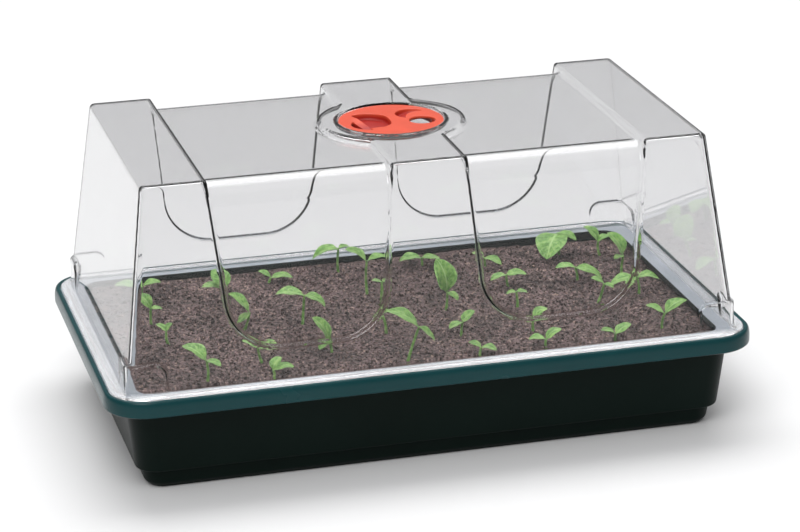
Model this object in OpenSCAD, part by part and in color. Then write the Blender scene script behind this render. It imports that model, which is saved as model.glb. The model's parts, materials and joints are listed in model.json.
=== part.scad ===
// Seed propagator: a deep seed tray with a rolled rim, a clear high dome with recessed
// panels, a turning vent dial in its roof, and the compost and seedlings it holds.
// Millimetres, +Z up. The origin is at the centre of the tray's foot.

/* [Tray] */
// Length over the rolled rim
rim_l = 380; // [340:1:420]
// Width over the rolled rim
rim_w = 224; // [200:1:260]
// Height of the rim's crest
tray_h = 61.5; // [60:0.5:72]
// Corner radius of the rim in plan
rim_r = 25; // [20:1:32]
// Wall thickness of the tray
tray_t = 2.2; // [1.6:0.1:3]
// Height of the stepped plinth at the foot
plinth_h = 12; // [8:0.5:16]
// Depth of compost, from the floor up
compost_h = 48; // [35:1:50]
// Drainage holes along the length
drains_x = 5; // [3:1:7]
// Drainage holes across the width
drains_y = 3; // [2:1:4]

/* [Dome] */
// Height of the dome's roof above the ground
roof_z = 177; // [160:1:200]
// Wall thickness of the dome
dome_t = 1.8; // [1.4:0.1:2.2]
// Depth of the recessed panels below the roof's raised bands
panel_d = 3.4; // [2:0.1:4.5]
// Half width of the raised centre band
band_half = 21.5; // [18:0.5:26]
// Radius of the raised pad round the vent
pad_r = 43.5; // [40:0.5:47]

/* [Vent dial] */
// Radius of the dial
dial_r = 30.8; // [28:0.2:33]
// Thickness of the dial's rim
dial_t = 1.8; // [1.4:0.1:2.4]
// Radius of the dial's pivot stem
stem_r = 3.95; // [3:0.05:5]

/* [Hidden] */
rim_x = rim_l / 2;
rim_y = rim_w / 2;

// Rolled rim: a bead outside the ledge that the dome's flange sits on
bead_w = 3.6;
lip_h = 9.7;
lip_r = 6;
lip_t = 2;
ledge_drop = 1.6;
ledge_z = tray_h - ledge_drop;
ledge_t = 2.4;
mouth_in_x = 19.5;
mouth_in_y = 15.6;
mouth_r = 12;

// Tray body, as distances in from the rim
body_in_top = 12;
body_in_low = 17;
plinth_in_top = 20.5;
plinth_in_low = 22;
body_r = 15;
floor_z = 2.5;
floor_top = floor_z + tray_t;
foot_edge = 3;
drain_r = 2;
drain_pitch = [62, 58];
foot_w = 9;
rib_w = 3;

// Dome, as distances in from the rim
flange_in = 4;
flange_t = 1.8;
flange_top = ledge_z + flange_t;
wall_in = 11.5;
roof_in = 26.6;
wall_r = 6;
roof_edge = 3.5;
// The recessed walls stand back by this share of the panel's depth in the roof
panel_wall_share = 0.75;
panel_edge = 12;
lug_l = 24;
lug_h = 17;
lug_in = 11.2;
draft = (roof_in - wall_in) / (roof_z - flange_top);

// Recessed panels: each runs over the roof and down both walls to a round bottom
panel_outer = 127.3;
panel_taper = 8.5;
panel_low_z = 81;
panel_corner = 26;

// Vent well in the pad
well_seat_r = dial_r + 0.8;
well_r = 26.6;
well_seat_z = roof_z - 2.6;
well_z = roof_z - 6;
vent_hole_a = [17, -6, 7.4];
vent_hole_b = [-19.5, -6.5, 4.8];

// Dial
dial_z = roof_z - 1;
dial_low = well_z + 0.1;
skirt_r = 25.6;
cup_t = 1.4;
cup_floor = 1;
pocket_at = [-14.5, 1];
pocket_r = 15.2;
pocket_right = -0.6;
fin_x = -14.8;
fin_w = 5.6;
fin_turn = 22;
// The fin starts flush with the disc this far back and slopes down from there
fin_back = 8;
fin_slope = 12;
slot_at = [-13.5, -5];
slot_r = 11.2;
scoop_at = [14.2, 9];
scoop_r = 9;
scoop_cut_at = [20.5, 2];
scoop_cut_r = 10.8;
hole_at = [17.5, -5.5];
hole_r = 7.6;
stem_low = well_z - dome_t - 4;
stem_gap = 0.05;

compost_top = floor_top + compost_h;
gap = 0.3;

layer_t = 0.4;

// Each seedling: x, y, stem height, lean to the right in degrees,
// then for each of its two leaves: heading, length, rise
SEEDLINGS = [
    [-139, 74, 10, 0, [165, 15, 10], [-15, 12, 15]],
    [-141, 32, 11, 0, [140, 12, 50], [0, 7, 0]],
    [-137, -3, 9, -10, [150, 7, 40], [20, 6, 45]],
    [-90, 53, 11, -10, [165, 14, 10], [110, 15, 45]],
    [-90, 8, 11, 20, [160, 17, 45], [200, 9, -25]],
    [-61, 78, 6, 30, [160, 9, 25], [-10, 13, 5]],
    [-55, 6, 19, 5, [165, 17, 5], [-20, 14, -25]],
    [-91, -48, 10, -15, [150, 10, 30], [-10, 12, 15]],
    [-127, -66, 13, 0, [150, 16, 35], [-30, 9, -10]],
    [-90, -71, 5, 0, [40, 9, 40], [-10, 12, 10]],
    [-14, 82, 19, 0, [165, 18, -20], [0, 7, 5]],
    [-5, 46, 22, 0, [160, 15, 35], [-15, 12, 15]],
    [-7, 9, 21, 5, [170, 6, 10], [0, 5, 25]],
    [38, 80, 8, 5, [170, 14, 0], [-10, 12, -5]],
    [33, 4, 12, 5, [120, 21, 70], [-40, 8, -30]],
    [-49, -44, 8, -10, [150, 17, 60], [200, 8, -25]],
    [-11, -22, 12, -10, [180, 6, 0], [20, 5, 30]],
    [-11, -70, 21, 20, [160, 21, 30], [-20, 12, -45]],
    [30, -40, 9, 5, [190, 9, -10], [20, 10, 40]],
    [32, -72, 5, 10, [150, 8, 20], [-30, 9, 0]],
    [77, 71, 7, -5, [150, 8, 25], [-30, 12, -10]],
    [81, 34, 8, -10, [180, 10, -15], [-5, 13, 5]],
    [76, -2, 10, -5, [170, 6, 0], [-10, 7, 0]],
    [73, -43, 9, 0, [190, 5, 0], [10, 10, 25]],
    [73, -68, 4, 0, [170, 10, 10], [10, 11, 30]],
    [128, 78, 16, -5, [235, 24, -20], [-30, 13, -10]],
    [125, 32, 9, -10, [170, 12, 5], [-20, 18, -15]],
    [123, -12, 13, 20, [160, 9, 25], [-40, 6, -20]],
    [153, 71, 10, -10, [140, 13, 50], [0, 9, 20]],
    [155, 36, 12, 5, [140, 17, 55], [200, 7, 0]],
    [152, -4, 12, -5, [175, 17, -10], [-10, 14, 0]],
    [146, -63, 10, 10, [160, 12, 25], [0, 15, 35]],
    [114, -72, 4, 5, [170, 9, 20], [10, 11, 30]],
];
stem_d = 2.4;
leaf_t = 1;
leaf_aspect = 0.62;

function two_digits(i) = i < 10 ? str("0", i) : str(i);
function seedling_name(i) = str("seedling_", two_digits(i + 1));

// Corner discs of one layer, which a hull joins into a drafted rounded box
module layer(half_x, half_y, r, z) {
    for (sx = [-1, 1], sy = [-1, 1])
        translate([sx * (half_x - r), sy * (half_y - r), z])
            cylinder(r = r, h = layer_t, $fn = 32);
}

// A slab with true round corners
module slab(half_x, half_y, r, z, t) {
    translate([0, 0, z]) {
        translate([-half_x + r, -half_y, 0]) cube([2 * (half_x - r), 2 * half_y, t]);
        translate([-half_x, -half_y + r, 0]) cube([2 * half_x, 2 * (half_y - r), t]);
        for (sx = [-1, 1], sy = [-1, 1])
            translate([sx * (half_x - r), sy * (half_y - r), 0])
                cylinder(r = r, h = t, $fn = 96);
    }
}

// Sweeps a profile round the rim: the profile's x is the distance out from the corner centres
module rim_sweep() {
    run_x = rim_x - rim_r;
    run_y = rim_y - rim_r;
    for (turn = [0, 180])
        rotate(turn) {
            translate([run_x, run_y, 0])
                rotate_extrude(angle = 90, $fn = 96) children();
            translate([-run_x, run_y, 0]) rotate(90)
                rotate_extrude(angle = 90, $fn = 96) children();
            translate([run_x, run_y, 0])
                rotate([90, 0, 0]) linear_extrude(2 * run_y) children();
            translate([-run_x, run_y, 0])
                rotate([90, 0, 90]) linear_extrude(2 * run_x) children();
        }
}

// Section of the rolled rim: a round shoulder outside the ledge, with a lip turned down
module rim_profile() {
    shoulder_z = tray_h - sqrt(pow(lip_r, 2) - pow(lip_r - bead_w, 2));
    intersection() {
        translate([rim_r - lip_r, shoulder_z]) circle(lip_r, $fn = 96);
        translate([rim_r - bead_w, shoulder_z]) square([bead_w, lip_r]);
    }
    translate([rim_r - lip_t, tray_h - lip_h]) square([lip_t, shoulder_z - tray_h + lip_h]);
}

module seed_tray() {
    color([0.03, 0.16, 0.14])
    difference() {
        union() {
            rim_sweep() rim_profile();
            slab(rim_x - 2, rim_y - 2, rim_r - 2, ledge_z - ledge_t, ledge_t);
            hull() {
                layer(rim_x - body_in_top, rim_y - body_in_top, body_r, ledge_z - ledge_t);
                layer(rim_x - body_in_low, rim_y - body_in_low, body_r - 2, plinth_h);
            }
            hull() {
                layer(rim_x - plinth_in_top, rim_y - plinth_in_top, body_r - 3, plinth_h);
                layer(rim_x - plinth_in_low, rim_y - plinth_in_low, body_r - 4, foot_edge);
                layer(rim_x - plinth_in_low - foot_edge, rim_y - plinth_in_low - foot_edge,
                    body_r - 6, 0);
            }
        }
        // The mouth, and the hollow below it
        slab(rim_x - mouth_in_x, rim_y - mouth_in_y, mouth_r, ledge_z - ledge_t - 1, ledge_t + 5);
        tray_hollow(0);
        // Recess under the floor, so that water can run away between the feet
        slab(rim_x - plinth_in_low - foot_w, rim_y - plinth_in_low - foot_w, 5, -1, 1 + floor_z);
        drain_places() cylinder(r = drain_r, h = 3 * floor_top, center = true, $fn = 32);
    }
    color([0.03, 0.16, 0.14]) tray_feet();
}

// The space inside the tray's walls, shrunk by a clearance
module tray_hollow(clear) {
    wall = tray_t + clear;
    step_z = plinth_h + 2;
    hull() {
        layer(rim_x - body_in_top - wall, rim_y - body_in_top - wall, body_r - wall,
            ledge_z - ledge_t - layer_t);
        layer(rim_x - body_in_low - wall, rim_y - body_in_low - wall, body_r - 2 - wall, step_z);
    }
    hull() {
        layer(rim_x - plinth_in_top - wall, rim_y - plinth_in_top - wall, body_r - 3 - wall, step_z);
        layer(rim_x - plinth_in_low - wall, rim_y - plinth_in_low - wall, body_r - 4 - wall,
            floor_top);
    }
}

// Cross ribs under the floor, level with the foot
module tray_feet() {
    half_y = rim_y - plinth_in_low - foot_w + 1;
    for (x = [-0.3, 0.3] * rim_x)
        translate([x - rib_w / 2, -half_y, 0]) cube([rib_w, 2 * half_y, floor_z + 0.5]);
}

module drain_places() {
    for (i = [0 : drains_x - 1], j = [0 : drains_y - 1])
        translate([
            (i - (drains_x - 1) / 2) * drain_pitch[0],
            (j - (drains_y - 1) / 2) * drain_pitch[1],
            0
        ]) children();
}

module compost() {
    color([0.3, 0.24, 0.23])
    intersection() {
        tray_hollow(gap);
        translate([-rim_x, -rim_y, 0]) cube([rim_l, rim_w, compost_top]);
    }
}

// How far the dome's outer wall stands in from the rim at a height
function wall_inset(z) = wall_in + draft * (z - flange_top);

// Drafted box with a rounded roof edge: the roof is lowered by a drop, the front and back
// with it, and the whole is shrunk by a thickness
module dome_body(drop, edge, shrink, low_z) {
    top = roof_z - drop - shrink;
    front = drop * panel_wall_share;
    bevel = 0.29 * edge;
    // Each row: height, extra inset, corner radius
    rows = [
        [low_z, 0, wall_r],
        [top - edge, 0, wall_r],
        [top - bevel, bevel, wall_r - 1],
        [top - layer_t, edge, wall_r - 2]
    ];
    hull()
        for (row = rows) {
            inset = wall_inset(min(row[0], top - edge)) + shrink + row[1];
            layer(rim_x - inset, rim_y - inset - front, row[2], row[0]);
        }
}

// Front outline of one recessed panel, widened all round by a margin
module panel_outline(grow) {
    low_r = panel_corner + grow;
    left = band_half - grow;
    right = panel_outer + grow;
    low = panel_low_z - grow;
    low_left = left + panel_taper - 2;
    low_right = right - panel_taper;
    shoulder = low + low_r;
    polygon([
        [left, roof_z + 10], [low_left, shoulder], [low_left + low_r, low],
        [low_right - low_r, low], [low_right, shoulder], [right, roof_z + 10]
    ]);
    translate([low_left + low_r, shoulder]) circle(low_r, $fn = 96);
    translate([low_right - low_r, shoulder]) circle(low_r, $fn = 96);
}

// The two panel zones, less the pad round the vent
module panel_zone(grow) {
    difference() {
        for (side = [0, 1])
            mirror([side, 0, 0])
                rotate([90, 0, 0])
                    translate([0, 0, -rim_y])
                        linear_extrude(rim_w) panel_outline(grow);
        cylinder(r = pad_r - grow, h = 3 * roof_z, center = true, $fn = 96);
    }
}

// Raised bands everywhere, recessed inside the panel zones
module dome_form(shrink, low_z) {
    difference() {
        dome_body(0, roof_edge, shrink, low_z);
        difference() {
            panel_zone(shrink * 0.8);
            dome_body(panel_d, panel_edge, shrink, low_z - 1);
        }
    }
}

// Corner blocks at the foot of the dome's walls
module dome_lugs() {
    half_x = rim_x - lug_in;
    half_y = rim_y - lug_in;
    intersection() {
        slab(half_x, half_y, wall_r, flange_top - 0.5, lug_h + 0.5);
        for (sx = [-1, 1], sy = [-1, 1])
            translate([sx * half_x, sy * half_y, flange_top + lug_h / 2])
                cube([2 * lug_l, 2 * lug_l, lug_h + 2], center = true);
    }
}

// Round funnel that the vent dial sits down in, fattened by a thickness
module vent_well(fat) {
    translate([0, 0, well_z - fat])
        cylinder(r1 = well_r + fat, r2 = well_seat_r + fat, h = well_seat_z - well_z, $fn = 96);
    translate([0, 0, well_seat_z - fat]) cylinder(r = well_seat_r + fat, h = 10, $fn = 96);
}

module dome() {
    color([0.85, 0.9, 0.95, 0.35])
    difference() {
        union() {
            dome_form(0, ledge_z);
            dome_lugs();
            slab(rim_x - flange_in, rim_y - flange_in, rim_r - flange_in, ledge_z, flange_t);
        }
        difference() {
            dome_form(dome_t, ledge_z - 2);
            vent_well(dome_t);
        }
        vent_well(0);
        cylinder(r = stem_r + stem_gap, h = 2 * roof_z, $fn = 64);
        for (v = [vent_hole_a, vent_hole_b])
            translate([v[0], v[1], 0]) cylinder(r = v[2], h = 2 * roof_z, $fn = 64);
    }
}

// A band of the dial beside a slanted line, from one distance across it to another
module fin_band(from, to) {
    translate([fin_x, 0]) rotate(fin_turn) translate([from, -dial_r]) square([to - from, 2 * dial_r]);
}

// Outline of the finger pocket, widened by a margin
module pocket_outline(margin) {
    intersection() {
        translate(pocket_at) circle(pocket_r + margin, $fn = 96);
        fin_band(-margin, pocket_r + margin);
        translate([-dial_r, -dial_r]) square([dial_r + pocket_right + margin, 2 * dial_r]);
    }
}

// Outline of the crescent pocket, widened by a margin
module scoop_outline(margin) {
    difference() {
        translate(scoop_at) circle(scoop_r + margin, $fn = 96);
        translate(scoop_cut_at) circle(scoop_cut_r - margin, $fn = 96);
    }
}

// What stands below the disc: a skirt, the cups of both pockets, the fin and the stem's boss
module dial_underside() {
    linear_extrude(dial_z - dial_t / 2 - dial_low)
        intersection() {
            circle(skirt_r, $fn = 128);
            union() {
                difference() {
                    circle(skirt_r, $fn = 128);
                    circle(skirt_r - cup_t, $fn = 128);
                }
                pocket_outline(cup_t);
                scoop_outline(cup_t);
                circle(stem_r + cup_t, $fn = 64);
                intersection() {
                    translate(pocket_at) circle(pocket_r, $fn = 96);
                    fin_band(-fin_w, 0.5);
                }
            }
        }
}

// The top of the fin, lowered along a slope
module fin_cut() {
    intersection() {
        translate([pocket_at[0], pocket_at[1], 0]) cylinder(r = pocket_r - cup_t, h = 2 * roof_z, $fn = 96);
        translate([fin_x, 0, dial_z]) rotate(fin_turn)
            translate([-fin_w - 0.5, fin_back, 0]) rotate([fin_slope, 0, 0])
                translate([0, -dial_r, 0]) cube([fin_w + 1, dial_r, dial_r]);
    }
}

// A thin disc over its underside, with finger pockets, the fin and two air ways
module vent_dial() {
    color([0.9, 0.33, 0.22]) {
        difference() {
            union() {
                translate([0, 0, dial_z - dial_t]) cylinder(r = dial_r, h = dial_t, $fn = 128);
                translate([0, 0, dial_low]) dial_underside();
            }
            pocket_cut(dial_low + cup_floor) pocket_outline(0);
            pocket_cut(dial_low + cup_floor) scoop_outline(0);
            fin_cut();
            // Slot-shaped air way on the other side of the fin, and the round one
            pocket_cut(0) intersection() {
                translate(slot_at) circle(slot_r, $fn = 96);
                fin_band(-dial_r, -fin_w);
            }
            pocket_cut(0) translate(hole_at) circle(hole_r, $fn = 96);
        }
        dial_stem();
    }
}

module pocket_cut(z) {
    translate([0, 0, z]) linear_extrude(roof_z) children();
}

// Split snap stem that passes through the dome and holds the dial down
module dial_stem() {
    head_z = well_z - dome_t - 0.2;
    slot_w = 1.4;
    difference() {
        union() {
            translate([0, 0, stem_low]) cylinder(r = stem_r, h = dial_low + 0.5 - stem_low, $fn = 64);
            translate([0, 0, stem_low])
                cylinder(r1 = stem_r - 0.6, r2 = stem_r + 0.9, h = head_z - stem_low, $fn = 64);
        }
        translate([-10, -slot_w / 2, stem_low - 1]) cube([20, slot_w, 7]);
    }
}

// A pointed oval leaf lying along +X
module leaf(length) {
    width = length * leaf_aspect;
    arc_r = (length * length + width * width) / (4 * width);
    linear_extrude(leaf_t, center = true)
        intersection_for(side = [-1, 1])
            translate([length / 2, side * (arc_r - width / 2)]) circle(arc_r, $fn = 64);
}

// A stem with two seed leaves
module seedling(s) {
    height = s[2];
    lean = s[3];
    color([0.5, 0.68, 0.36])
    translate([s[0], s[1], compost_top]) {
        intersection() {
            rotate([0, lean, 0])
                translate([0, 0, -stem_d])
                    cylinder(d = stem_d, h = height / cos(lean) + stem_d, $fn = 24);
            translate([-30, -30, 0]) cube(60);
        }
        for (leaf_data = [s[4], s[5]])
            translate([height * tan(lean), 0, height - 0.8 * leaf_t])
                rotate([0, 0, leaf_data[0]]) rotate([0, -leaf_data[2], 0])
                    translate([-leaf_t, 0, 0]) leaf(leaf_data[1] + leaf_t);
    }
}

seed_tray();
compost();
dome();
vent_dial();
for (i = [0 : len(SEEDLINGS) - 1])
    seedling(SEEDLINGS[i]);
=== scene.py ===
"""Seed propagator: a deep green seed tray, a clear dome with a turning vent dial, compost and seedlings.

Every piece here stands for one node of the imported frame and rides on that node's body.
Lengths inside the builders are millimetres in the frame's own axes; MM turns them into metres.
"""

import json
import math

import bpy
import numpy as np
from mathutils import Matrix, Vector, noise


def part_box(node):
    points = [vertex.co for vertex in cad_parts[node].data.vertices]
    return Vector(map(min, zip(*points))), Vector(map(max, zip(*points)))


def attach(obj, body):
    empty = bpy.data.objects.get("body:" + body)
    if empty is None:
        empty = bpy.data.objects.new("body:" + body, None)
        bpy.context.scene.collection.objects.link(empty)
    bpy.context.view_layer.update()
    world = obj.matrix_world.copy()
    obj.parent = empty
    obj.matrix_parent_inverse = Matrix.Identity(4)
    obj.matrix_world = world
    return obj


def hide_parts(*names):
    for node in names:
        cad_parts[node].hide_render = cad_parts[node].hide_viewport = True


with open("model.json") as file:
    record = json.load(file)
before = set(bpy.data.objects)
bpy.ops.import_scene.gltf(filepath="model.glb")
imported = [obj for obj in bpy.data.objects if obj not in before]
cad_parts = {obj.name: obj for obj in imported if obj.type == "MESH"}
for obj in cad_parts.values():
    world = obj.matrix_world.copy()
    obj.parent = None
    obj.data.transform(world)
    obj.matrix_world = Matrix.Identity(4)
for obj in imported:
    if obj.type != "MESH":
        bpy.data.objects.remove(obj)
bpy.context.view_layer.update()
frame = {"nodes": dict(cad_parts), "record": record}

MM = 0.001
RNG = np.random.default_rng(7)


def node_box(node):
    """Lowest and highest corner of a CAD node, in millimetres."""
    low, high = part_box(node)
    return np.array(low) / MM, np.array(high) / MM


_, TRAY_HIGH = node_box("seed_tray")
DOME_LOW, DOME_HIGH = node_box("dome")
DIAL_LOW, DIAL_HIGH = node_box("vent_dial")
FILL_LOW, FILL_HIGH = node_box("compost")
RIM_X, RIM_Y, RIM_Z = TRAY_HIGH
RIM_R = 25
ROOF_Z = DOME_HIGH[2]
DIAL_R, DIAL_Z = DIAL_HIGH[0], DIAL_HIGH[2]
SOIL_Z = FILL_HIGH[2]


# ---------------------------------------------------------------- meshes


def mesh_from_quads(name, points, quads):
    """A mesh from an array of points in millimetres and an array of quads."""
    mesh = bpy.data.meshes.new(name)
    mesh.vertices.add(len(points))
    mesh.vertices.foreach_set("co", (points * MM).astype(np.float32).ravel())
    mesh.loops.add(quads.size)
    mesh.loops.foreach_set("vertex_index", quads.astype(np.int32).ravel())
    mesh.polygons.add(len(quads))
    mesh.polygons.foreach_set("loop_start", np.arange(0, quads.size, 4, dtype=np.int32))
    mesh.update(calc_edges=True)
    mesh.validate()
    return mesh


def mesh_from_faces(name, points, faces):
    """A mesh from points in millimetres and a list of faces of any size."""
    mesh = bpy.data.meshes.new(name)
    mesh.from_pydata((np.asarray(points) * MM).tolist(), [], faces)
    mesh.validate()
    mesh.update()
    return mesh


def add_piece(name, mesh, material, node, normals=None):
    """Links a mesh as the piece that stands for a CAD node, and rides on its body."""
    mesh.polygons.foreach_set("use_smooth", np.ones(len(mesh.polygons), bool))
    if normals is not None:
        mesh.normals_split_custom_set_from_vertices(normals.tolist())
    mesh.materials.append(material)
    obj = bpy.data.objects.new(name, mesh)
    bpy.context.scene.collection.objects.link(obj)
    body = next(b for b, nodes in frame["record"]["behaviour"]["bodies"].items() if node in nodes)
    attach(obj, body)
    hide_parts(node)
    return obj


# ---------------------------------------------------------------- smooth solids
# A solid is a function of x, y and z that is negative inside it, zero on its surface
# and close to the distance in millimetres elsewhere.


def both(a, b, r):
    """Where both solids are, with an outside edge rounded to radius r."""
    return np.minimum(np.maximum(a, b), -r) + np.hypot(np.maximum(a + r, 0), np.maximum(b + r, 0))


def either(a, b, r):
    """Where either solid is, with an inside corner filled to radius r."""
    return -both(-a, -b, r)


def less(a, b, r):
    """The first solid without the second, its new edge rounded to radius r."""
    return both(a, -b, r)


def surface_of(solid, low, high, step):
    """Quad mesh of a solid's surface: points, quads and exact normals."""
    axes = [
        np.arange(a - 1.5 * step, b + 2.5 * step, step, dtype=np.float32)
        for a, b in zip(low, high)
    ]
    values = solid(*np.meshgrid(*axes, indexing="ij", sparse=True)).astype(np.float32)
    inside = values < 0
    size = [n - 1 for n in values.shape]
    count = np.zeros(size, np.uint8)
    for corner in np.ndindex(2, 2, 2):
        count += inside[tuple(slice(c, c + n) for c, n in zip(corner, size))]
    active = (count > 0) & (count < 8)
    cells = np.argwhere(active)
    index = np.full(size, -1, np.int32)
    index[active] = np.arange(len(cells))

    total = np.zeros((len(cells), 3))
    hits = np.zeros((len(cells), 1))
    quads = []
    for axis in range(3):
        unit = np.eye(3, dtype=int)[axis]
        side, other = np.eye(3, dtype=int)[[(axis + 1) % 3, (axis + 2) % 3]]
        for corner in (0 * side, side, other, side + other):
            start = cells + corner
            a = values[tuple(start.T)]
            b = values[tuple((start + unit).T)]
            crossed = (a < 0) != (b < 0)
            share = np.where(crossed, a / np.where(crossed, a - b, 1), 0)
            total += np.where(crossed[:, None], start + share[:, None] * unit, 0)
            hits += crossed[:, None]
        ahead = np.moveaxis(inside, axis, 0)
        edges = np.argwhere(np.moveaxis(ahead[:-1] != ahead[1:], 0, axis))
        ring = [index[tuple((edges - s).T)] for s in (side + other, other, 0 * side, side)]
        quad = np.stack(ring, 1)
        leaving = inside[tuple(edges.T)]
        quads.append(np.where(leaving[:, None], quad, quad[:, ::-1]))
    points = np.array([a[0] for a in axes]) + total / hits * step
    return *onto_surface(solid, points, step), np.concatenate(quads)


def onto_surface(solid, points, step):
    """Moves points onto a solid's surface, and gives the surface's normals there."""
    reach = 0.04

    def slope(p):
        shifts = np.eye(3) * reach
        return np.stack([solid(*(p + s).T) - solid(*(p - s).T) for s in shifts], 1) / (2 * reach)

    for _ in range(3):
        normal = slope(points)
        length = np.maximum((normal**2).sum(1), 0.2)
        move = np.clip(solid(*points.T) / length, -step / 2, step / 2)
        points = points - normal * move[:, None]
    normal = slope(points)
    return points, normal / np.linalg.norm(normal, axis=1)[:, None]


# ---------------------------------------------------------------- lofted rings


def rounded_ring(half_x, half_y, radius, z, arc=18, run=16):
    """Points of a rounded rectangle, counter-clockwise from above."""
    signs = ((1, 1), (-1, 1), (-1, -1), (1, -1))
    centres = [np.array([sx * (half_x - radius), sy * (half_y - radius)]) for sx, sy in signs]
    points = []
    for quarter, centre in enumerate(centres):
        turns = (quarter + np.arange(arc + 1) / arc) * math.pi / 2
        bend = centre + radius * np.column_stack([np.cos(turns), np.sin(turns)])
        side = centres[(quarter + 1) % 4] - centre
        points += [*bend, *(bend[-1] + side * i / run for i in range(1, run))]
    return np.column_stack([points, np.full(len(points), z)])


def eased(path, steps=4):
    """A path of [values..., radius] rows with each inner corner eased to that radius."""
    rows = np.array([r[:-1] for r in path], float)
    out = [rows[0]]
    for before, here, after, row in zip(rows, rows[1:], rows[2:], path[1:-1]):
        ease = row[-1]
        if ease <= 0:
            out.append(here)
            continue
        span_in, span_out = before - here, after - here
        start = here + span_in * min(ease / np.linalg.norm(span_in), 0.5)
        end = here + span_out * min(ease / np.linalg.norm(span_out), 0.5)
        for i in range(steps + 1):
            t = i / steps
            out.append((1 - t) ** 2 * start + 2 * t * (1 - t) * here + t**2 * end)
    out.append(rows[-1])
    return out


def inside_rim(x, y):
    """Distance in from the tray's outline, in millimetres."""
    over = np.maximum(np.abs((x, y)) - (RIM_X - RIM_R, RIM_Y - RIM_R), 0)
    flat = max(abs(x) - RIM_X, abs(y) - RIM_Y)
    return RIM_R - math.hypot(*over) if over.all() else -flat


def boxes(rows):
    """Closed boxes in one mesh, from rows of lowest and highest corners."""
    sides = [(0, 1, 3, 2), (4, 6, 7, 5), (0, 4, 5, 1), (2, 3, 7, 6), (0, 2, 6, 4), (1, 5, 7, 3)]
    points, faces = [], []
    for low, high in rows:
        first = len(points)
        corners = np.array(list(np.ndindex(2, 2, 2)))
        points += np.where(corners, high, low).tolist()
        faces += [tuple(first + i for i in side) for side in sides]
    return mesh_from_faces("boxes", points, faces)


def pegs(places, radius, low, high, sides=28):
    """Closed upright cylinders in one mesh."""
    points, faces = [], []
    turn = [2 * math.pi * i / sides for i in range(sides)]
    for x, y in places:
        ring = [(x + radius * math.cos(t), y + radius * math.sin(t)) for t in turn]
        more, sides_of = loft([np.array([(*p, z) for p in ring]) for z in (low, high)])
        faces += [tuple(len(points) + i for i in face) for face in sides_of]
        points += more.tolist()
    return mesh_from_faces("pegs", points, faces)


def combined(mesh, other, operation):
    """A mesh joined with another closed mesh, or less it."""
    pair = [bpy.data.objects.new("pair", m) for m in (mesh, other)]
    for obj in pair:
        bpy.context.scene.collection.objects.link(obj)
    modifier = pair[0].modifiers.new("combined", "BOOLEAN")
    modifier.operation, modifier.object, modifier.solver = operation, pair[1], "EXACT"
    shaped = pair[0].evaluated_get(bpy.context.evaluated_depsgraph_get())
    result = bpy.data.meshes.new_from_object(shaped)
    for obj in pair:
        bpy.data.objects.remove(obj)
    return result


def loft(rings, close_start=True, close_end=True):
    """Points and faces of a skin over rings of equal length."""
    n = len(rings[0])
    points = np.concatenate(rings)
    faces = []
    for i in range(len(rings) - 1):
        a, b = i * n, (i + 1) * n
        faces += [(a + j, a + (j + 1) % n, b + (j + 1) % n, b + j) for j in range(n)]
    if close_start:
        faces.append(tuple(range(n))[::-1])
    if close_end:
        last = (len(rings) - 1) * n
        faces.append(tuple(range(last, last + n)))
    return points, faces


# ---------------------------------------------------------------- materials


class Shader:
    """A Principled material and the nodes that feed it."""

    def __init__(self, name, **values):
        self.material = bpy.data.materials.new(name)
        self.material.use_nodes = True
        self.tree = self.material.node_tree
        self.main = self.tree.nodes["Principled BSDF"]
        for key, value in values.items():
            self.main.inputs[key.replace("_", " ")].default_value = value

    def add(self, kind, **settings):
        node = self.tree.nodes.new(kind)
        for key, value in settings.items():
            if hasattr(node, key):
                setattr(node, key, value)
            else:
                node.inputs[key.replace("_", " ")].default_value = value
        return node

    def link(self, source, target):
        self.tree.links.new(source, target)

    def ramp(self, source, stops):
        """A colour ramp over a value, from (position, colour) stops."""
        node = self.add("ShaderNodeValToRGB")
        ramp = node.color_ramp
        while len(ramp.elements) < len(stops):
            ramp.elements.new(0.5)
        for element, (position, colour) in zip(ramp.elements, stops):
            element.position = position
            element.color = (*colour, 1) if len(colour) == 3 else colour
        self.link(source, node.inputs["Fac"])
        return node.outputs["Color"]

    def place(self):
        """Coordinates in the object's own metres."""
        return self.add("ShaderNodeTexCoord").outputs["Object"]

    def maths(self, operation, a, b=0.0):
        node = self.add("ShaderNodeMath", operation=operation)
        for socket, value in zip(node.inputs, (a, b)):
            if isinstance(value, (int, float)):
                socket.default_value = value
            else:
                self.link(value, socket)
        return node.outputs[0]

    def mix(self, a, b, factor, blend="MIX"):
        """Two colours mixed; each may be a colour or a socket, and so may the factor."""
        node = self.add("ShaderNodeMix", data_type="RGBA", blend_type=blend)
        for key, value in (("Factor", factor), ("A", a), ("B", b)):
            socket = next(i for i in node.inputs if i.name == key and i.enabled)
            if isinstance(value, (int, float)):
                socket.default_value = value
            elif isinstance(value, tuple):
                socket.default_value = (*value, 1)
            else:
                self.link(value, socket)
        return next(o for o in node.outputs if o.enabled)

    def height(self):
        """Height above the ground, in metres."""
        parts = self.add("ShaderNodeSeparateXYZ")
        self.link(self.place(), parts.inputs[0])
        return parts.outputs["Z"]

    def noise(self, scale, detail=3, rough=0.5, where=None):
        node = self.add("ShaderNodeTexNoise", Scale=scale, Detail=detail, Roughness=rough)
        self.link(where or self.place(), node.inputs["Vector"])
        return node.outputs["Fac"]

    def bump(self, height, distance, strength=1.0):
        node = self.add("ShaderNodeBump", Strength=strength, Distance=distance)
        self.link(height, node.inputs["Height"])
        self.link(node.outputs["Normal"], self.main.inputs["Normal"])
        return node


def clear_plastic(name, clarity, roughness):
    s = Shader(
        name,
        Base_Color=(0.855, 0.855, 0.86, 1),
        Transmission_Weight=clarity,
        Roughness=roughness,
        IOR=1.36,
    )
    return s.material


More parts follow.
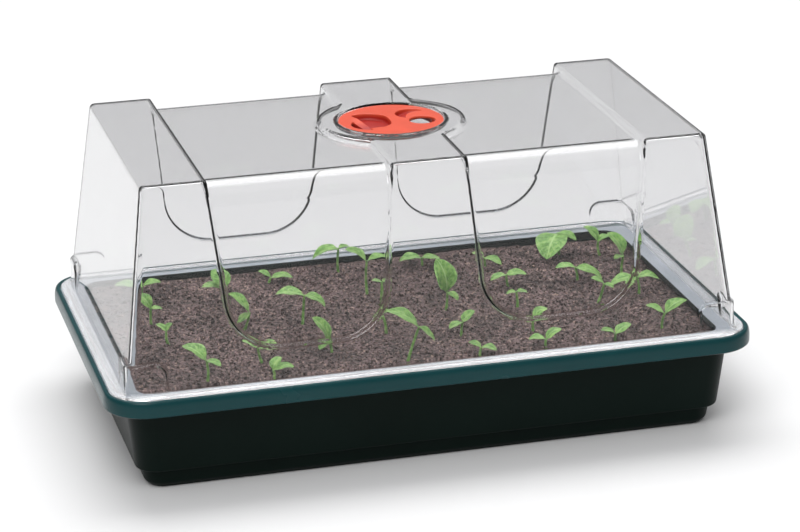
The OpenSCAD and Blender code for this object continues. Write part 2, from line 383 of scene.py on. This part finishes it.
def green_plastic(name, low, high, gloss, shine):
    """Polypropylene: a clouded colour, a slight sheen that varies and a fine grain."""
    s = Shader(name, Specular_IOR_Level=shine)
    where = s.place()
    cloud = s.noise(18, detail=4, where=where)
    s.link(s.ramp(cloud, [(0.3, low), (0.7, high)]), s.main.inputs["Base Color"])
    rough = s.ramp(cloud, [(0.3, (gloss - 0.05,) * 3), (0.7, (gloss + 0.05,) * 3)])
    s.link(rough, s.main.inputs["Roughness"])
    s.bump(s.noise(2600, detail=2, where=where), 0.00006)
    return s.material


def vent_plastic():
    """Orange-red on its face, with painted shade: a deeper red down in the pockets, darker with depth."""
    s = Shader("vent_plastic", Roughness=0.40, Specular_IOR_Level=0.35)
    s.bump(s.noise(3200, detail=2), 0.00005)
    cloud = s.ramp(s.noise(60, detail=3), [(0.3, (0.88,) * 3), (0.7, (1.0,) * 3)])
    # Painted shade: the red darkens with depth below the dial's face, standing in for the shade down in
    # the pockets and cups
    depth = 6
    level = s.maths("DIVIDE", s.maths("SUBTRACT", s.height(), (DIAL_Z - depth) * MM), depth * MM)
    shaded_reds = s.ramp(
        level,
        [(0.1, (0.30, 0.010, 0.007)), (0.6, (0.40, 0.016, 0.010)), (0.86, (0.66, 0.078, 0.034))],
    )
    s.link(s.mix(shaded_reds, cloud, 1.0, "MULTIPLY"), s.main.inputs["Base Color"])
    return s.material


def compost_grain():
    """Dark grains with purple-grey and straw-coloured flecks, and deep gaps between them."""
    s = Shader("compost_grain", Roughness=0.85, Specular_IOR_Level=0.3)
    where = s.place()
    cells = s.add("ShaderNodeTexVoronoi", Scale=980.0, feature="F1", Randomness=1.0)
    s.link(where, cells.inputs["Vector"])
    parts = s.add("ShaderNodeSeparateColor")
    s.link(cells.outputs["Color"], parts.inputs[0])
    tone = s.ramp(
        parts.outputs[0],
        [
            (0.0, (0.012, 0.008, 0.007)),
            (0.30, (0.045, 0.028, 0.025)),
            (0.62, (0.115, 0.078, 0.074)),
            (0.9, (0.19, 0.135, 0.13)),
            (1.0, (0.34, 0.25, 0.20)),
        ],
    )
    patches = s.noise(45, detail=5, where=where)
    patches = s.ramp(patches, [(0.3, (0.6, 0.58, 0.56)), (0.7, (1.25, 1.2, 1.2))])
    fine = s.noise(1700, detail=4, rough=0.7, where=where)
    fine = s.ramp(fine, [(0.3, (0.35,) * 3), (0.7, (1.5,) * 3)])
    colour = s.mix(s.mix(tone, patches, 1.0, "MULTIPLY"), fine, 1.0, "MULTIPLY")
    s.link(colour, s.main.inputs["Base Color"])
    s.bump(s.noise(1500, detail=4, rough=0.65, where=where), 0.0008)
    return s.material


def leaf_green():
    s = Shader("leaf_green", Roughness=0.42, Specular_IOR_Level=0.35, Subsurface_Weight=0.12)
    s.main.inputs["Subsurface Radius"].default_value = (0.4, 1.0, 0.2)
    s.main.inputs["Subsurface Scale"].default_value = 0.0008
    place = s.add("ShaderNodeUVMap")
    place.uv_map = "leaf"
    parts = s.add("ShaderNodeSeparateXYZ")
    s.link(place.outputs["UV"], parts.inputs["Vector"])

    along = parts.outputs["X"]
    across = s.maths("ABSOLUTE", s.maths("SUBTRACT", parts.outputs["Y"], 0.5))
    rib = s.ramp(across, [(0.0, (1, 1, 1)), (0.055, (0, 0, 0))])
    slant = s.maths("SUBTRACT", along, s.maths("MULTIPLY", across, 0.55))
    wave = s.maths("ABSOLUTE", s.maths("SINE", s.maths("MULTIPLY", slant, 20.0)))
    veins = s.ramp(wave, [(0.0, (0.6, 0.6, 0.6)), (0.22, (0, 0, 0))])
    lines = s.mix(rib, veins, 1.0, "LIGHTEN")
    blade = s.ramp(
        s.noise(380, detail=4),
        [(0.34, (0.060, 0.160, 0.022)), (0.5, (0.115, 0.25, 0.048)), (0.68, (0.22, 0.36, 0.10))],
    )
    s.link(s.mix(blade, (0.28, 0.42, 0.16), lines), s.main.inputs["Base Color"])
    s.bump(lines, 0.0004, 0.7)
    return s.material


# ---------------------------------------------------------------- seed tray


LEDGE_Z = DOME_LOW[2]
RIB_AT = 57
RIB_HALF = 1.5
RIB_TOP = 2.7
RIB_IN = 31.5
DRAIN_R = 2
DRAIN_PITCH = (62, 58)


def build_tray():
    """One skin from under the floor, round the foot, walls and rolled rim, to the inner floor.

    The rim, the ledge and the rest are one green plastic in three painted copies: the rim polished and
    painted a lighter teal as painted light, the ledge inside it painted pale as a painted reflection, and
    the rest painted near-black as painted shade.
    """
    # Each row: distance in from the rim along x and y, corner radius, height, ease
    path = [
        [31, 31, 5, 2.5, 0],
        [31, 31, 5, 0.4, 0.4],
        [30.4, 30.4, 5.4, 0, 0.5],
        [25, 25, 9, 0, 1.2],
        [22, 22, 11, 3.2, 1.5],
        [20.5, 20.5, 12, 12, 1.2],
        [17, 17, 13, 12.4, 1.2],
        [12, 12, 15, LEDGE_Z - 3, 2],
        [4.5, 4.5, 20.5, LEDGE_Z - 2.6, 2.5],
        [2.2, 2.2, 22.8, RIM_Z - 6, 1.5],
        [2.0, 2.0, 23, RIM_Z - 9.3, 0.5],
        [1.1, 1.1, 23.9, RIM_Z - 9.9, 0.5],
        [0, 0, 25, RIM_Z - 9.1, 0.7],
        [0, 0, 25, RIM_Z - 3.6, 3.4],
        [0.9, 0.9, 24.1, RIM_Z - 0.3, 2.0],
        [2.8, 2.8, 22.2, RIM_Z, 0.9],
        [3.6, 3.6, 21.4, RIM_Z - 0.6, 0.5],
        [3.7, 3.7, 21.3, LEDGE_Z, 0.4],
        [19.5, 15.6, 12, LEDGE_Z, 0.8],
        [19.6, 15.7, 12, LEDGE_Z - 2.6, 0.6],
        [14.4, 14.4, 12.6, LEDGE_Z - 3.2, 0.6],
        [19.2, 19.2, 10.8, 14, 1.2],
        [22.7, 22.7, 9.8, 13.6, 1.2],
        [24.2, 24.2, 8.8, 4.7, 1.2],
        [30, 30, 5, 4.7, 0],
    ]
    rings = [
        rounded_ring(RIM_X - row[0], RIM_Y - row[1], row[2], row[3])
        for row in eased(path)
    ]
    points, faces = loft(rings)
    mesh = mesh_from_faces("seed_tray", points, faces)
    half_rib = RIM_Y - RIB_IN
    ribs = [((x - RIB_HALF, -half_rib, 0), (x + RIB_HALF, half_rib, RIB_TOP)) for x in (-RIB_AT, RIB_AT)]
    mesh = combined(mesh, boxes(ribs), "UNION")
    drains = [(DRAIN_PITCH[0] * i, DRAIN_PITCH[1] * j) for i in range(-2, 3) for j in (-1, 0, 1)]
    mesh = combined(mesh, pegs(drains, DRAIN_R, 1, 6), "DIFFERENCE")

    # Painted shade: the body's near-black is the tray's green darkened to stand in for the shadow and dark
    # reflection on it
    body = green_plastic("green_body_painted_shade", (0.0028, 0.0075, 0.0058), (0.0036, 0.0095, 0.0075), 0.42, 0.07)
    # Painted light: the rim is the same green painted a lighter teal for the light it catches
    rim = green_plastic("green_rim_painted_light", (0.003, 0.036, 0.040), (0.005, 0.045, 0.049), 0.24, 0.2)
    # Painted reflection: the ledge's pale grey-blue stands in for the bright haze reflected over it, on
    # the same green plastic
    ledge_glare = green_plastic("green_ledge_painted_reflection", (0.16, 0.18, 0.20), (0.24, 0.26, 0.29), 0.35, 0.5)
    add_piece("tray_moulding", mesh, body, "seed_tray")
    mesh.materials.append(rim)
    mesh.materials.append(ledge_glare)
    mesh.set_sharp_from_angle(angle=math.radians(40))
    # Faces of the rolled rim take the painted light, faces of the ledge the painted reflection, and the
    # rest the painted shade
    for face in mesh.polygons:
        x, y, z = face.center / MM
        # The flat ledge under the dome takes the painted reflection
        if inside_rim(x, y) > 3.6 and face.normal.z > 0.9 and abs(z - LEDGE_Z) < 0.6:
            face.material_index = 2
        elif z > RIM_Z - 11 and inside_rim(x, y) < 4.4:
            face.material_index = 1


# ---------------------------------------------------------------- dome


WALL_T = 1.8
WALL_IN = 11.5
ROOF_IN = 26.6
FLANGE_TOP = DOME_LOW[2] + WALL_T
DRAFT = (ROOF_IN - WALL_IN) / (ROOF_Z - FLANGE_TOP)
LEAN = 1 / math.hypot(1, DRAFT)
PANEL_DEPTH = 3.4
PANEL_WALL_DEPTH = 2.6
PANEL_LOW = 81
PANEL_INNER = 21.3
PANEL_OUTER = 127.3
PAD_R = 43.5
WELL_FLOOR = ROOF_Z - 6
BLOCK_IN = 11.2
BLOCK_H = 17
BLOCK_LONG = 35.2
FLANGE_IN = 4
FLANGE_R = 21
PIVOT_R = 4
AIR_HOLES = ((17, -6, 7.4), (-19.5, -6.5, 4.8))


def wall_plane(across, rim, z):
    """Distance outside one pair of drafted walls."""
    return (across - (rim - WALL_IN - DRAFT * (z - FLANGE_TOP))) * LEAN


def flange_outline(x, y):
    """Distance outside the flange's rounded outline."""
    return both(np.abs(x) - (RIM_X - FLANGE_IN), np.abs(y) - (RIM_Y - FLANGE_IN), FLANGE_R)


def dome_skin(x, y, z, corner, brow, lip):
    """The dome as a filled solid: bands, panels, corner blocks, flange and vent well.

    The radii are those of its upright corners, of its roof's edges and of the panels' lips.
    """
    ax, ay = np.abs(x), np.abs(y)
    ends, sides, roof = wall_plane(ax, RIM_X, z), wall_plane(ay, RIM_Y, z), z - ROOF_Z
    body = both(both(ends, sides, corner), roof, brow)

    rise = (ROOF_Z + 10 - z) / 80
    inner, outer = PANEL_INNER + 6.8 * rise - ax, ax - PANEL_OUTER + 8.5 * rise
    zone = both(np.maximum(inner, outer), PANEL_LOW - z, 26.0)
    radial = np.hypot(x, y)
    zone = both(zone, PAD_R - radial, 1.0)
    recess = both(sides + PANEL_WALL_DEPTH, roof + PANEL_DEPTH, 13.0)
    body = less(body, both(zone, -recess, 1.2), lip)

    block = both(ax - (RIM_X - BLOCK_IN), ay - (RIM_Y - BLOCK_IN), 8.0)
    top = z - (FLANGE_TOP + BLOCK_H)
    block = both(block, both(top, RIM_X - BLOCK_LONG - ax, 7.0), 2.1)
    block = np.maximum(block, both(top, RIM_Y - BLOCK_LONG - ay, 7.0))
    body = either(body, block, 0.8)

    body = either(body, both(flange_outline(x, y), z - FLANGE_TOP, 0.6), 1.2)

    cone = ((radial - 26.6) - (z - WELL_FLOOR) * 1.47) * 0.5625
    well = both(np.maximum(cone, radial - (DIAL_R + 0.4)), WELL_FLOOR - z, 1.0)
    return less(body, well, 0.6)


def dome_solid(x, y, z):
    """The dome's moulded wall, thicker in its corners, with its bead, its bore and its air holes."""
    skin = dome_skin(x, y, z, 3.2, 2.4, 1.9)
    hollow = dome_skin(x, y, z, 4.6, 3.4, 2.5)
    bead = np.hypot(flange_outline(x, y) + 3.9, z - FLANGE_TOP) - 0.9
    wall = np.maximum(either(skin, bead, 0.6), -(hollow + WALL_T))
    wall = np.maximum(wall, DOME_LOW[2] + 0.1 - z)
    for cx, cy, r in ((0, 0, PIVOT_R), *AIR_HOLES):
        wall = less(wall, np.hypot(x - cx, y - cy) - r, 0.4)
    return wall


def build_dome():
    """The moulding, polished but for the satin band of its flange."""
    step = 1.0
    points, normals, quads = surface_of(dome_solid, DOME_LOW, DOME_HIGH, step)
    mesh = mesh_from_quads("dome", points, quads)
    clear = clear_plastic("clear_plastic", 1.0, 0.015)
    dome = add_piece("dome_moulding", mesh, clear, "dome", normals)
    mesh.materials.append(clear_plastic("clear_satin", 0.82, 0.16))
    centres = np.zeros(3 * len(mesh.polygons))
    mesh.polygons.foreach_get("center", centres)
    x, y, z = centres.reshape(-1, 3).T / MM
    outside = np.maximum(np.abs(x) - RIM_X, np.abs(y) - RIM_Y) > -WALL_IN
    mesh.polygons.foreach_set("material_index", (outside & (z < FLANGE_TOP + 1.2)).astype(np.int32))
    # Clear plastic lets the light through to the compost
    dome.visible_shadow = False


# ---------------------------------------------------------------- vent dial


SKIRT_R = 25.6
CUP_T = 1.4
POCKET = (-14.5, 1, 15.2)
SCOOP = (14.2, 9, 9)
SCOOP_CUT = (20.5, 2, 10.8)
SLOT = (-13.5, -5, 11.2)
AIR_WAY = (17.5, -5.5, 7.6)
FIN_X = -14.8
FIN_W = 5.6
FIN_TURN = math.radians(22)
FIN_BACK = 8
FIN_SLOPE = math.radians(12)
STEM_TOP_R = 3.95
HEAD_R = 3.35


def disc(x, y, place):
    """Distance outside a circle, given by its centre and radius."""
    return np.hypot(x - place[0], y - place[1]) - place[2]


def dial_solid(x, y, z):
    """A thin disc over a skirt, two cups, the slanted fin and a split snap stem."""
    radial = np.hypot(x, y)
    low, floor = DIAL_LOW[2], DIAL_LOW[2] + 6.9
    across = (x - FIN_X) * math.cos(FIN_TURN) + y * math.sin(FIN_TURN)
    along = y * math.cos(FIN_TURN) - (x - FIN_X) * math.sin(FIN_TURN)
    pocket = both(both(disc(x, y, POCKET), -across, 2.5), x + 0.6, 2.0)
    scoop = less(disc(x, y, SCOOP), disc(x, y, SCOOP_CUT), 1.2)
    slot = both(disc(x, y, SLOT), across + FIN_W, 1.2)
    fin = np.maximum(disc(x, y, POCKET) + 0.8, np.abs(across + 2.6) - 3.2)

    plate = both(radial - DIAL_R, np.abs(z - DIAL_Z + 0.9) - 0.9, 0.75)
    below = np.maximum(radial - SKIRT_R, SKIRT_R - CUP_T - radial)
    for cup in (pocket - CUP_T, scoop - CUP_T, fin, radial - 5.3):
        below = np.minimum(below, cup)
    below = both(np.maximum(below, radial - SKIRT_R), np.maximum(z - DIAL_Z + 1, floor - 1 - z), 0.3)
    solid = either(plate, below, 0.5)

    solid = less(solid, both(pocket, floor - z, 1.6), 0.6)
    slope = floor + 0.2 + 0.12 * (x - 5) - z
    solid = less(solid, both(scoop, slope, 1.4), 0.6)
    ramp = (DIAL_Z - math.tan(FIN_SLOPE) * (FIN_BACK - along) - z) * math.cos(FIN_SLOPE)
    solid = less(solid, both(both(fin + 0.4, along - FIN_BACK, 1.0), ramp, 0.4), 0.6)
    solid = less(solid, slot, 0.5)
    solid = less(solid, disc(x, y, AIR_WAY), 0.6)

    stem = np.maximum(radial - STEM_TOP_R, np.maximum(z - floor, low - z))
    head = np.maximum((radial - HEAD_R) - (z - low) * 0.4, z - (WELL_FLOOR - WALL_T - 0.2))
    stem = np.minimum(stem, np.maximum(head, low - z))
    slit = np.maximum(np.abs(y) - 0.7, z - low - 6)
    return np.minimum(solid, np.maximum(stem, -slit))


def build_dial(material):
    step = 0.42
    points, normals, quads = surface_of(dial_solid, DIAL_LOW, DIAL_HIGH, step)
    mesh = mesh_from_quads("vent_dial", points, quads)
    add_piece("vent_dial_moulding", mesh, material, "vent_dial", normals)


# ---------------------------------------------------------------- compost


def soil_height(x, y):
    """Height of the loose surface above the compost's level, in millimetres."""
    place = Vector((x, y, 0))
    mound = 0.7 * noise.noise(place / 42) + 0.35 * noise.noise(place / 15)
    # Heaped against the back, and falling away towards the right-hand end
    back, left = (min(max(t, 0), 1) for t in ((y - 62) / 26, (200 - x) / 120))
    mound += 3.6 * back * back * (3 - 2 * back) * left
    lump = 1.0 - noise.voronoi(place / 4.2)[0][0]
    crumb = 1.0 - noise.voronoi(place / 1.9)[0][0]
    return mound + 1.3 * (lump - 0.55) + 0.7 * (crumb - 0.55) - 0.2


def crumb_meshes(count, half_x, half_y):
    """Points and faces of loose crumbs lying on the surface."""
    gold = (1 + math.sqrt(5)) / 2
    corners = np.array(
        [(-1, gold, 0), (1, gold, 0), (-1, -gold, 0), (1, -gold, 0), (0, -1, gold), (0, 1, gold),
         (0, -1, -gold), (0, 1, -gold), (gold, 0, -1), (gold, 0, 1), (-gold, 0, -1), (-gold, 0, 1)]
    ) / math.hypot(1, gold)
    sides = [(0, 11, 5), (0, 5, 1), (0, 1, 7), (0, 7, 10), (0, 10, 11), (1, 5, 9), (5, 11, 4),
             (11, 10, 2), (10, 7, 6), (7, 1, 8), (3, 9, 4), (3, 4, 2), (3, 2, 6), (3, 6, 8),
             (3, 8, 9), (4, 9, 5), (2, 4, 11), (6, 2, 10), (8, 6, 7), (9, 8, 1)]
    points, faces = [], []
    for _ in range(count):
        x, y = RNG.uniform(-half_x, half_x), RNG.uniform(-half_y, half_y)
        size = 0.45 + 0.95 * RNG.random() ** 3
        shape = corners * (1 + 0.35 * RNG.standard_normal((12, 1))) * size
        shape *= RNG.uniform(0.6, 1.3, 3)
        turn = Matrix.Rotation(RNG.uniform(0, 6.28), 3, Vector(RNG.standard_normal(3)))
        shape = shape @ np.array(turn) + (x, y, SOIL_Z + soil_height(x, y) + 0.3 * size)
        first = len(points) * 12
        points.append(shape)
        faces += [tuple(first + i for i in side) for side in sides]
    return np.concatenate(points), faces


def build_compost(material):
    """A grained surface over a plain block that fills the tray, with loose crumbs on it."""
    slack = 0.35
    half_x, half_y, corner = FILL_HIGH[0] - slack, FILL_HIGH[1] - slack, 12.0
    step = 1.25
    nx, ny = int(2 * half_x / step), int(2 * half_y / step)
    gx, gy = np.meshgrid(np.linspace(-half_x, half_x, nx), np.linspace(-half_y, half_y, ny), indexing="ij")
    # The square corners are drawn in to arcs
    qx, qy = np.abs(gx) - (half_x - corner), np.abs(gy) - (half_y - corner)
    bend = (qx > 0) & (qy > 0)
    pull = np.where(bend, np.maximum(qx, qy) / np.maximum(np.hypot(qx, qy), 1e-9), 1)
    gx = np.where(bend, np.sign(gx) * (half_x - corner + qx * pull), gx)
    gy = np.where(bend, np.sign(gy) * (half_y - corner + qy * pull), gy)
    flat = np.column_stack([gx.ravel(), gy.ravel()])
    heights = np.array([SOIL_Z + soil_height(x, y) for x, y in flat])
    top = np.column_stack([flat, heights])
    ids = np.arange(nx * ny).reshape(nx, ny)
    quads = np.stack([ids[:-1, :-1], ids[1:, :-1], ids[1:, 1:], ids[:-1, 1:]], -1).reshape(-1, 4)
    faces = [tuple(q) for q in quads.tolist()]
    edge = np.concatenate([ids[:, 0], ids[-1, 1:], ids[-2::-1, -1], ids[0, -2:0:-1]])
    points = [top]
    ring = edge
    made = len(top)
    # Down the tray's inner wall: height and the inset there
    for z, inset in ((SOIL_Z - 3, 0.5), (16, 4.0), (13, 8.3), (FILL_LOW[2], 9.6)):
        scale = np.array([(half_x - inset) / half_x, (half_y - inset) / half_y])
        points.append(np.column_stack([top[edge, :2] * scale, np.full(len(edge), z)]))
        lower = np.arange(made, made + len(edge))
        made += len(edge)
        strip = np.stack([np.roll(ring, -1), ring, lower, np.roll(lower, -1)], 1)
        faces += [tuple(q) for q in strip.tolist()]
        ring = lower
    faces.append(tuple(int(i) for i in ring[::-1]))
    crumbs, crumb_faces = crumb_meshes(9000, half_x - 3, half_y - 3)
    points.append(crumbs)
    faces += [tuple(i + made for i in f) for f in crumb_faces]
    mesh = mesh_from_faces("compost", np.concatenate(points), faces)
    add_piece("compost_fill", mesh, material, "compost")


# ---------------------------------------------------------------- seedlings


STEM_R = 1.2


def plant_of(node):
    """Foot, top and two leaf tips of a CAD seedling, in millimetres."""
    mesh = frame["nodes"][node].data
    points = np.array([v.co for v in mesh.vertices]) / MM
    on_foot = points[:, 2] < points[:, 2].min() + 0.05
    foot = points[on_foot].mean(0)
    # The stem's facets that stand on the foot are all square to its axis
    facets = [p.normal for p in mesh.polygons if on_foot[list(p.vertices)].any() and abs(p.normal.z) < 0.9]
    axis = np.linalg.svd(np.array(facets))[2][2]
    axis *= np.sign(axis[2])
    along = (points - foot) @ axis
    off = np.linalg.norm(points - foot - np.outer(along, axis), axis=1)
    top = foot + axis * (along[np.abs(off - STEM_R) < 0.02].max() - 0.8)

    reach = points - top
    spread = np.linalg.norm(reach, axis=1)
    spread[off < 1.5 * STEM_R] = 0
    first = spread.argmax()
    facing = reach @ reach[first] / (spread[first] * np.maximum(spread, 1e-6))
    second = np.where(facing < math.cos(math.radians(50)), spread, 0).argmax()
    return foot, top, (points[first], points[second])


def tube(points, radii, sides=10):
    """Rings of a tube along points, closed at both ends."""
    rings = []
    for i, (p, r) in enumerate(zip(points, radii)):
        ahead = points[min(i + 1, len(points) - 1)] - points[max(i - 1, 0)]
        ahead = ahead / np.linalg.norm(ahead)
        side = np.cross(ahead, (0, 1, 0.1))
        side /= np.linalg.norm(side)
        other = np.cross(ahead, side)
        turn = np.arange(sides) * 2 * math.pi / sides
        rings.append(p + r * (np.cos(turn)[:, None] * side + np.sin(turn)[:, None] * other))
    return loft(rings)


def blade(tip, root, seed):
    """A crowned leaf from its root to its tip: points, faces and a leaf place for each point."""
    rng = np.random.default_rng(seed)
    along = tip - root
    length = np.linalg.norm(along)
    along = along / length
    across = np.cross((0, 0, 1), along)
    across /= np.linalg.norm(across)
    up = np.cross(along, across)
    cols, rows = 15, 9
    width = length * 0.37 * rng.uniform(0.95, 1.12)
    fold = rng.uniform(0.10, 0.3)
    droop = rng.uniform(0.05, 0.14) * length
    wave = rng.uniform(0, 6.28)
    layers, places = [], []
    for side in (1, -1):
        for i in range(cols):
            u = i / (cols - 1)
            half = 0.5 + width * math.sin(math.pi * min(1, max(0, (u - 0.06) / 0.94)) ** 0.86) ** 0.62
            half = half if u < 0.97 else 0.12
            for j in range(rows):
                v = j / (rows - 1) * 2 - 1
                crown = droop * (4 * u * (1 - u) - 0.6 * u)
                cup = fold * abs(v) ** 1.3 * half
                ripple = 0.05 * half * math.sin(9 * u + wave + 2.2 * v) * abs(v)
                thick = 0.28 * side * (1 - v * v) * (1 - u**6)
                rise = crown + cup + ripple + thick - 0.3 * droop
                layers.append(root + along * length * u + across * half * v + up * rise)
                places.append((u, (v + 1) / 2))
    faces = []
    n = cols * rows
    for i in range(cols - 1):
        for j in range(rows - 1):
            a = i * rows + j
            faces.append((a, a + rows, a + rows + 1, a + 1))
            faces.append((n + a, n + a + 1, n + a + rows + 1, n + a + rows))
    for j in range(rows - 1):
        faces.append((j, j + 1, n + j + 1, n + j))
        e = (cols - 1) * rows + j
        faces.append((e + 1, e, n + e, n + e + 1))
    for i in range(cols - 1):
        a = i * rows
        faces.append((a + rows, a, n + a, n + a + rows))
        b = a + rows - 1
        faces.append((b, b + rows, n + b + rows, n + b))
    return np.array(layers), faces, places


def build_seedling(node, material):
    foot, top, tips = plant_of(node)
    seed = int(node[-2:])
    rng = np.random.default_rng(seed)
    bow = rng.uniform(-0.9, 0.9, 3) * (1, 1, 0)
    t = np.linspace(0, 1, 12)[:, None]
    line = (foot - (0, 0, 1.6)) * (1 - t) + top * t + bow * np.sin(math.pi * t)
    radii = np.interp(t[:, 0], [0, 0.5, 0.85, 1], [1.0, 0.78, 0.8, 0.55])
    points, faces = tube(line, radii)
    places = [(0.3, 0.9)] * len(points)
    for tip in tips:
        more, leaf_faces, leaf_places = blade(tip, top, seed * 7 + len(places))
        faces += [tuple(i + len(points) for i in f) for f in leaf_faces]
        points = np.concatenate([points, more])
        places += leaf_places
    mesh = mesh_from_faces(node, points, faces)
    layer = mesh.uv_layers.new(name="leaf")
    for loop in mesh.loops:
        layer.data[loop.index].uv = places[loop.vertex_index]
    add_piece(node + "_plant", mesh, material, node)


# ---------------------------------------------------------------- the pieces


build_tray()
build_dome()
build_dial(vent_plastic())
build_compost(compost_grain())
leaf_material = leaf_green()
for name in sorted(n for n in frame["nodes"] if n.startswith("seedling")):
    build_seedling(name, leaf_material)


# ---------------------------------------------------------------- stage, light and camera


def build_floor():
    mesh = bpy.data.meshes.new("floor")
    half = 14.0
    corners = [(-half, -half, 0), (half, -half, 0), (half, half, 0), (-half, half, 0)]
    mesh.from_pydata(corners, [], [(0, 1, 2, 3)])
    floor = bpy.data.objects.new("floor", mesh)
    bpy.context.scene.collection.objects.link(floor)
    s = Shader("floor_white", Roughness=0.9, Specular_IOR_Level=0.1)
    s.main.inputs["Base Color"].default_value = (0.70, 0.70, 0.70, 1)
    mesh.materials.append(s.material)


def build_world():
    """A dim room with a pale ceiling, so that the clear edges show against the bright floor."""
    world = bpy.data.worlds.new("studio")
    bpy.context.scene.world = world
    world.use_nodes = True
    tree = world.node_tree
    place = tree.nodes.new("ShaderNodeTexCoord")
    parts = tree.nodes.new("ShaderNodeSeparateXYZ")
    ramp = tree.nodes.new("ShaderNodeValToRGB")
    stops = [(0.0, 0.3), (0.3, 0.26), (0.75, 0.35), (0.9, 0.9)]
    while len(ramp.color_ramp.elements) < len(stops):
        ramp.color_ramp.elements.new(0.5)
    for element, (position, grey) in zip(ramp.color_ramp.elements, stops):
        element.position = position
        element.color = (grey, grey, grey * 1.02, 1)
    tree.links.new(place.outputs["Generated"], parts.inputs[0])
    tree.links.new(parts.outputs["Z"], ramp.inputs["Fac"])
    tree.links.new(ramp.outputs["Color"], tree.nodes["Background"].inputs["Color"])
    tree.nodes["Background"].inputs["Strength"].default_value = 1.0


def add_light(name, place, size, power, target=(0, 0, 0.08)):
    data = bpy.data.lights.new(name, "AREA")
    data.shape = "RECTANGLE"
    data.size, data.size_y = size
    data.energy = power
    lamp = bpy.data.objects.new(name, data)
    lamp.location = place
    lamp.rotation_euler = (Vector(target) - Vector(place)).to_track_quat("-Z", "Y").to_euler()
    bpy.context.scene.collection.objects.link(lamp)


def build_camera():
    """The photographed view: a long lens from the front left, looking down, with a slight roll."""
    azimuth, elevation, roll = (math.radians(a) for a in (-14.61, 19.54, -0.94))
    distance, target = 1.7533, Vector((0.00402, 0, 0.08498))
    back = Vector(
        (
            math.sin(azimuth) * math.cos(elevation),
            -math.cos(azimuth) * math.cos(elevation),
            math.sin(elevation),
        )
    )
    right = Vector((math.cos(azimuth), math.sin(azimuth), 0))
    up = back.cross(right)
    turned_right = right * math.cos(roll) + up * math.sin(roll)
    turned_up = up * math.cos(roll) - right * math.sin(roll)
    data = bpy.data.cameras.new("camera")
    data.lens, data.sensor_width = 133.08, 36
    camera = bpy.data.objects.new("camera", data)
    camera.matrix_world = Matrix.Translation(target + back * distance) @ Matrix(
        (turned_right, turned_up, back)
    ).transposed().to_4x4()
    bpy.context.scene.collection.objects.link(camera)
    bpy.context.scene.camera = camera


build_floor()
build_world()
add_light("key", (-1.0, -1.7, 2.3), (1.8, 1.8), 52)
add_light("top", (0.3, 1.3, 2.7), (3.0, 2.2), 78)
build_camera()
bpy.context.scene.view_settings.view_transform = "Standard"
